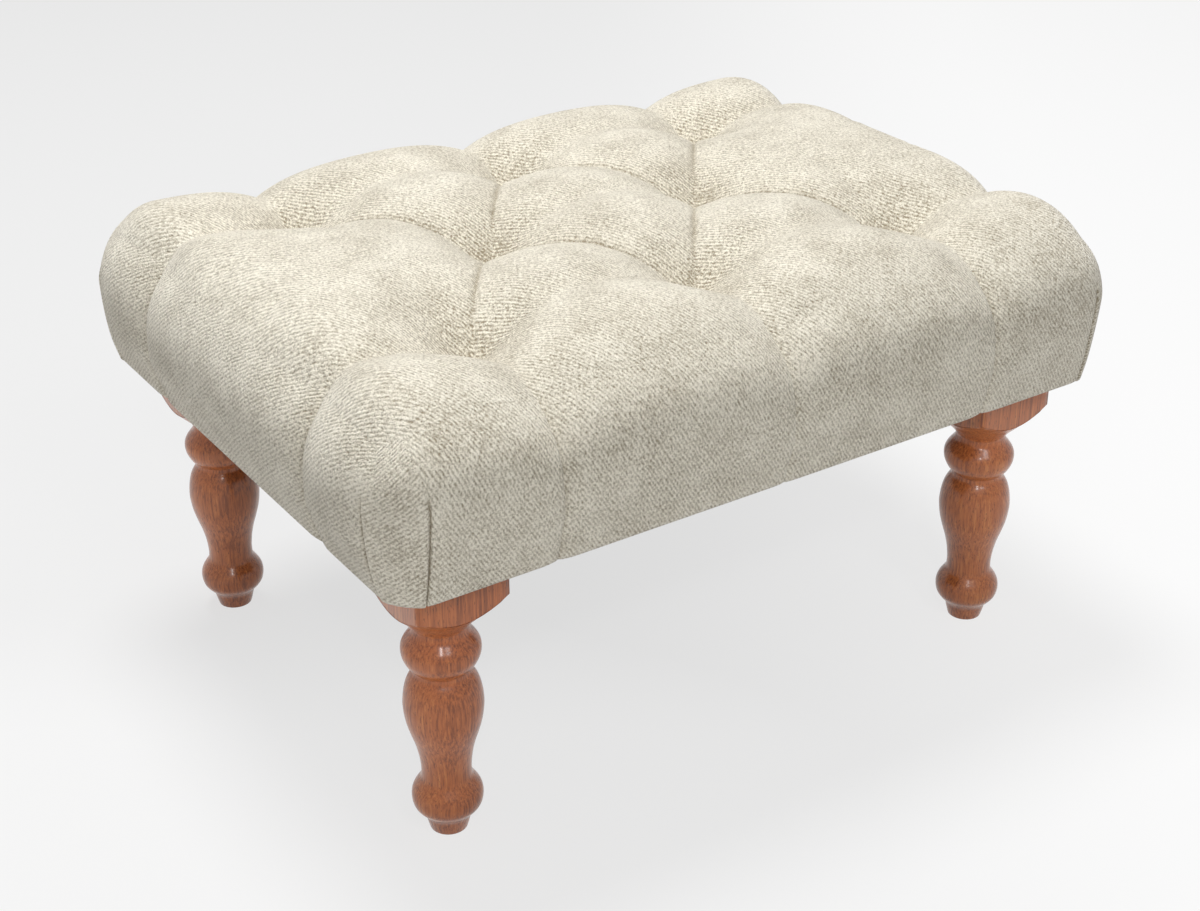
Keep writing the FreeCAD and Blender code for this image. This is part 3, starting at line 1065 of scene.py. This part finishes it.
def plain_floor():
    """Pale floor. To the camera it is mostly a plain backdrop that keeps a soft shadow, with painted
    light that makes it brighter towards the right and towards the front.
    """
    g = Graph("pale_floor")
    x, y, _ = g.parts(g.place())
    # Painted light: the floor's tone grows brighter towards the right and towards the front.
    rightward = g.plus(g.times(x, 0.83), g.times(y, -0.56))
    nearer = g.plus(g.times(x, -0.56), g.times(y, -0.83))
    painted_light_to_right = g.between(rightward, -0.15, 0.6)
    painted_light_to_front = g.between(nearer, -0.02, 0.2, 0.0, 0.45)
    tone = g.mix(g.math("MAXIMUM", painted_light_to_right, painted_light_to_front), linear(238, 238, 238), (1.0, 1.0, 1.0, 1.0))
    floor = g.finish(Base_Color=linear(226, 226, 226), Roughness=0.95, Specular_IOR_Level=0.05)
    glow = g.tree.nodes.new("ShaderNodeEmission")
    g.put(glow.inputs["Color"], tone)
    blend = g.tree.nodes.new("ShaderNodeMixShader")
    g.put(blend.inputs[0], g.times(seen_share(g.tree), 0.8))
    g.put(blend.inputs[1], g.shader.outputs[0])
    g.put(blend.inputs[2], glow.outputs[0])
    g.put(g.tree.nodes["Material Output"].inputs["Surface"], blend.outputs[0])
    return floor


def metal(name, tone, roughness):
    g = Graph(name)
    cloudy = g.noise(g.place(), 260, 4, 0.6)
    scratch = g.noise(g.stretch(g.place(), (30, 30, 1500)), 1.0, 2)
    brighter = [min(255, t + 28) for t in tone]
    colour = g.mix(g.between(cloudy, 0.35, 0.65), linear(*tone), linear(*brighter))
    return g.finish(Base_Color=colour, Metallic=1.0,
                    Roughness=g.between(cloudy, 0.3, 0.7, roughness - 0.06, roughness + 0.1),
                    Normal=g.bump(scratch, 0.00005, 0.4))


def foam_material():
    g = Graph("open_cell_foam")
    cells = g.noise(g.place(), 900, 3, 0.7)
    cloudy = g.noise(g.place(), 18, 3)
    colour = g.mix(g.between(cloudy, 0.35, 0.65), linear(226, 212, 165), linear(240, 229, 190))
    return g.finish(Base_Color=colour, Roughness=1.0, Normal=g.bump(cells, 0.0008, 0.9))


def black_cloth():
    """Matt non-woven cloth with pressed dimples."""
    g = Graph("dust_cloth_black")
    place = g.place()
    fibres = g.noise(place, 1400, 3, 0.7)
    x, y, _ = g.parts(place)
    wave = 2 * math.pi / dimple_pitch
    press = g.times(g.math("SINE", g.times(x, wave)), g.math("SINE", g.times(y, wave)))
    colour = g.mix(g.between(fibres, 0.3, 0.7), linear(28, 28, 30), linear(58, 58, 60))
    normal = g.bump(g.plus(g.times(press, 0.4), fibres), 0.0003, 0.8)
    return g.finish(Base_Color=colour, Roughness=0.92, Normal=normal, Sheen_Weight=0.15)


def twine_material():
    g = Graph("waxed_twine")
    x, y, z = g.parts(g.place())
    along = g.plus(z, g.plus(x, y))
    lay = g.math("SINE", g.times(along, 2 * math.pi / 0.002))
    colour = g.mix(g.between(lay, -1, 1), linear(150, 135, 105), linear(205, 192, 160))
    return g.finish(Base_Color=colour, Roughness=0.6, Normal=g.bump(lay, 0.0003, 0.8))


# Stage, camera and lights


def add_light(name, place, target, size, power):
    data = bpy.data.lights.new(name, "AREA")
    data.shape = "DISK"
    data.size = size
    data.energy = power
    light = new_object(name, data)
    light.location = place
    light.rotation_euler = (Vector(target) - Vector(place)).to_track_quat("-Z", "Y").to_euler()


def add_camera():
    """Camera at the photograph's viewing angle, from its fitted position and turn."""
    place = (-0.7860, -1.1779, 0.9008)
    width, focal = 1200.0, 1995.96
    turn, pitch, roll = math.radians(-33.96), math.radians(27.43), -0.0025
    centre_shift = (4.53 / width, 26.35 / width)
    right = Vector((math.cos(turn), math.sin(turn), 0))
    level = math.cos(pitch)
    forward = Vector((-math.sin(turn) * level, math.cos(turn) * level, -math.sin(pitch)))
    up = right.cross(forward)
    right, up = (right + up * roll).normalized(), (up - right * roll).normalized()
    data = bpy.data.cameras.new("camera")
    data.sensor_fit = "HORIZONTAL"
    data.sensor_width = 36.0
    data.lens = focal / width * data.sensor_width
    data.shift_x = -centre_shift[0]
    data.shift_y = -centre_shift[1]
    camera = new_object("camera", data)
    turned = Matrix((right, up, -forward)).transposed().to_4x4()
    camera.matrix_world = Matrix.Translation(place) @ turned
    bpy.context.scene.camera = camera


def pale_world():
    """Soft light all round, in front of a pale backdrop."""
    world = bpy.data.worlds.new("studio")
    world.use_nodes = True
    tree = world.node_tree
    soft = tree.nodes["Background"]
    soft.inputs["Color"].default_value = (1.0, 1.0, 1.0, 1.0)
    soft.inputs["Strength"].default_value = 0.25
    backdrop = tree.nodes.new("ShaderNodeBackground")
    backdrop.inputs["Color"].default_value = linear(240, 240, 240)
    blend = tree.nodes.new("ShaderNodeMixShader")
    tree.links.new(seen_share(tree), blend.inputs[0])
    tree.links.new(soft.outputs[0], blend.inputs[1])
    tree.links.new(backdrop.outputs[0], blend.inputs[2])
    tree.links.new(blend.outputs[0], tree.nodes["World Output"].inputs["Surface"])
    return world


def add_stage():
    size = 12.0
    mesh = bpy.data.meshes.new("floor")
    corners = [(-size, -size, 0), (size, -size, 0), (size, size, 0), (-size, size, 0)]
    mesh.from_pydata(corners, [], [(0, 1, 2, 3)])
    floor = new_object("floor", mesh)
    set_material(floor, plain_floor())
    bpy.context.scene.world = pale_world()
    add_light("top_box", (-0.1, 0.7, 3.0), (0, 0, 0.2), 1.2, 84)
    add_light("front_box", (-0.4, -2.4, 2.4), (0, 0, 0.2), 0.8, 13)
    add_light("camera_box", (-1.34, -2.2, 2.2), (0, 0, 0.1), 0.24, 10)


# The pieces


def add_cushion():
    cushion = new_object("cushion", cushion_mesh())
    set_material(cushion, cover_cloth())
    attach(cushion, "root")
    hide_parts("quilted_cover")


def add_legs():
    stain = wood("stained_wood", linear(140, 76, 42), linear(190, 109, 60), linear(216, 138, 78),
                 (1, 1, 0.06), 0.6, 0.34, 0.5)
    leg_x = leg_high.x - leg_half
    leg_y = leg_high.y - leg_half
    for depth, sy in (("front", -1), ("back", 1)):
        for side, sx in (("left", -1), ("right", 1)):
            leg = new_object("leg_" + depth + "_" + side, leg_mesh(sx * leg_x, sy * leg_y))
            set_material(leg, stain)
            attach(leg, "root")
            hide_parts("turned_legs")


def add_underside():
    cloth = new_object("dust_cloth_sheet", dust_cloth_mesh())
    set_material(cloth, black_cloth())
    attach(cloth, "root")
    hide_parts("dust_cloth")
    notch = (cloth_high.x - leg_high.x + 2 * leg_half + leg_clearance)
    notch *= cloth_high.y - leg_high.y + 2 * leg_half + leg_clearance
    staples = new_object("staples", staples_mesh())
    set_material(staples, metal("staple_steel", (176, 178, 180), 0.3))
    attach(staples, "root")


def finish_hidden_parts():
    """Materials of the frame and fixings inside the stool."""
    pine_tones = [linear(176, 138, 92), linear(212, 178, 128), linear(228, 198, 150)]
    along_x = wood("pine_along", *pine_tones, (0.08, 1, 1), 0.0, 0.62, 0.2)
    along_y = wood("pine_across", *pine_tones, (1, 0.08, 1), 0.0, 0.62, 0.2)
    ply = wood("plywood", linear(170, 132, 88), linear(200, 164, 118), linear(216, 184, 138),
               (0.1, 1, 12), 0.0, 0.66, 0.25)
    birch = wood("birch", linear(186, 152, 108), linear(214, 184, 140), linear(228, 202, 164),
                 (0.2, 1, 1), 0.0, 0.6, 0.2)
    zinc = metal("zinc_steel", (150, 152, 152), 0.34)
    looks = {"front_rail": along_x, "back_rail": along_x, "left_rail": along_y, "right_rail": along_y,
             "deck_board": ply, "tuft_toggles": birch, "foam_core": foam_material(),
             "tuft_twines": twine_material(), "hanger_bolts": zinc, "bolt_inserts": zinc}
    for name, node in nodes.items():
        look = along_x if name.startswith("corner_block") else looks.get(name)
        if look:
            set_material(node, look)


add_camera()
add_stage()
add_cushion()
add_legs()
add_underside()
finish_hidden_parts()

bpy.context.scene.view_settings.view_transform = "Standard"
bpy.context.view_layer.update()
